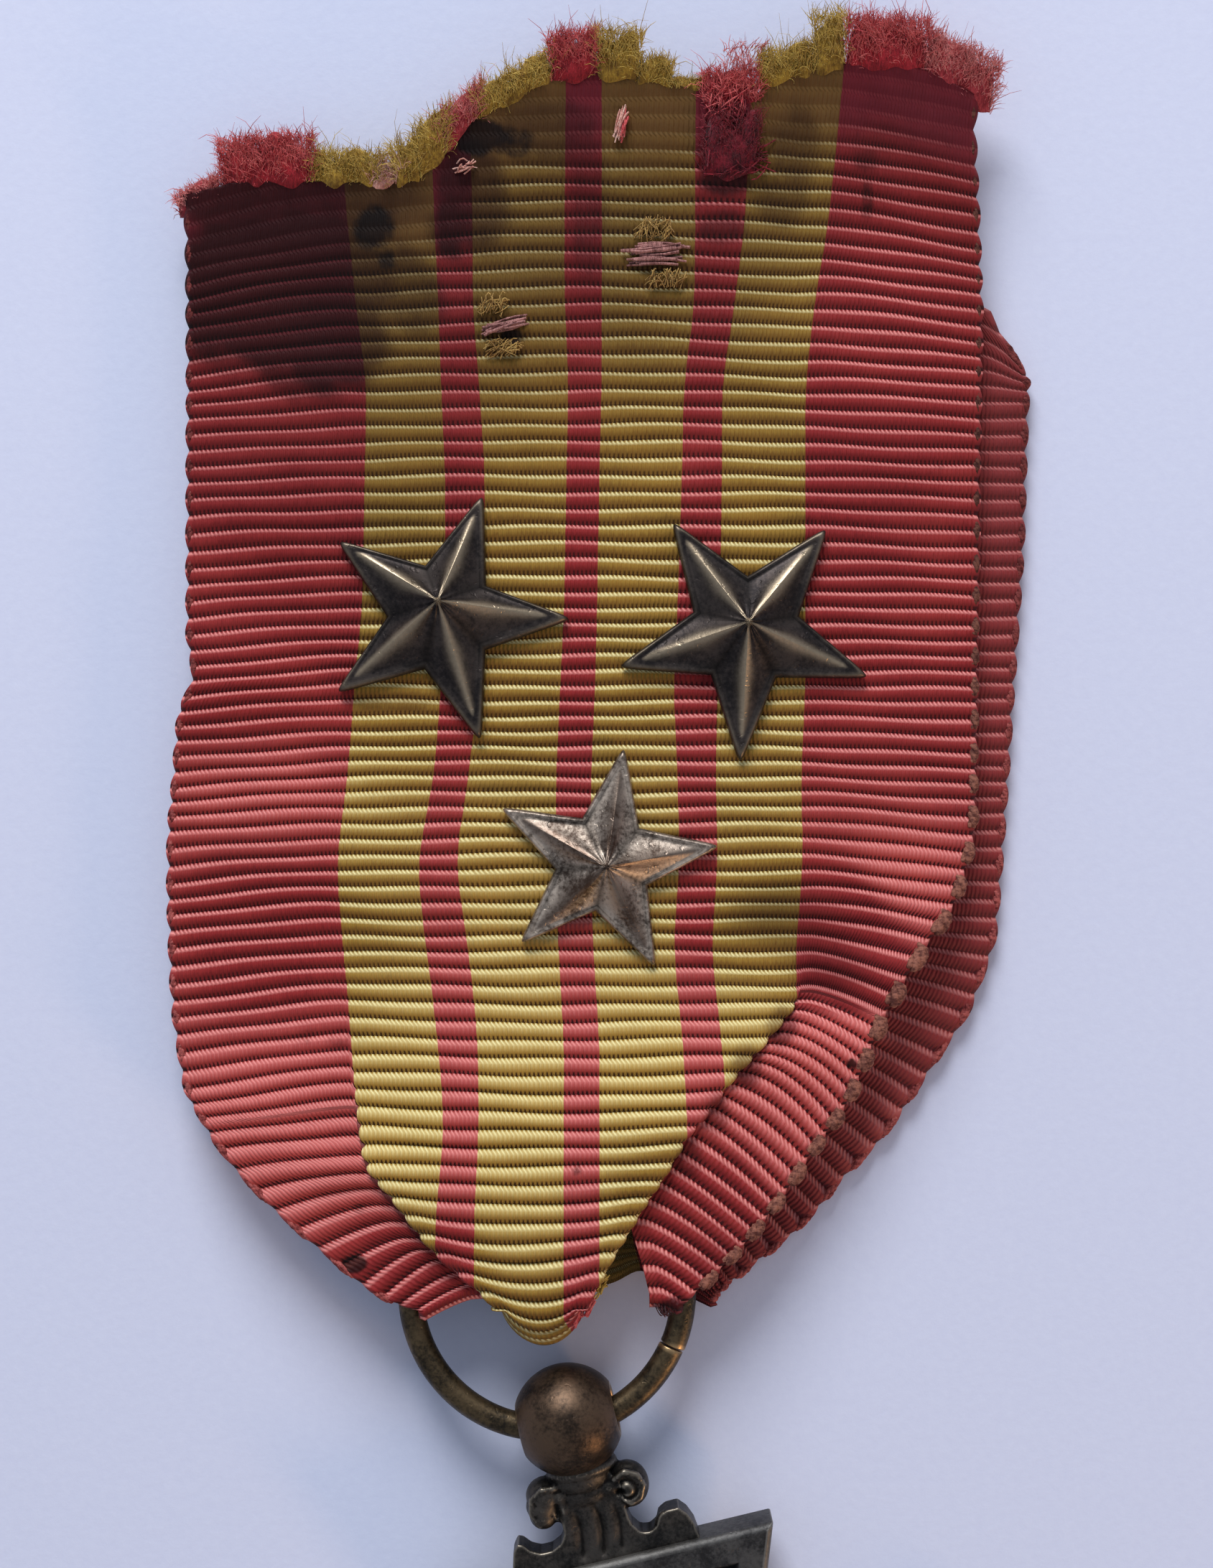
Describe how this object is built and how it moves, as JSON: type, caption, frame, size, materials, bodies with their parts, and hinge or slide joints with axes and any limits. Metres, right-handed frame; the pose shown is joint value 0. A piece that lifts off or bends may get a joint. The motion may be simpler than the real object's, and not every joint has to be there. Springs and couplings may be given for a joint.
{
  "type": "war cross medal",
  "caption": "Medal lying face up: striped grosgrain ribbon folded through a wire ring, small pinned stars and a bronze cross hung from a drilled ball.",
  "frame": {"origin": "on the surface it lies on, below the middle of its box", "axes": "+X across the ribbon to the wearer's left as seen, +Y up the ribbon away from the cross, +Z out of the medal's face"},
  "size_m": [0.0463, 0.1134, 0.0052],
  "materials": {
    "ribbon_cloth": "ribbed grosgrain, red with yellow stripes, worn and stained",
    "star_bronze": "dark patinated bronze, rubbed on the ridges",
    "star_bright": "patinated bronze, rubbed bright on the facets",
    "ring_wire": "dark patinated bronze wire",
    "cross_bronze": "dark patinated cast bronze"
  },
  "bodies": {
    "root": {"ribbon": "ribbon_cloth", "star_left": "star_bronze", "star_right": "star_bronze", "star_lower": "star_bright", "suspension_ring": "ring_wire", "cross_pendant": "cross_bronze"}
  },
  "joints": []
}
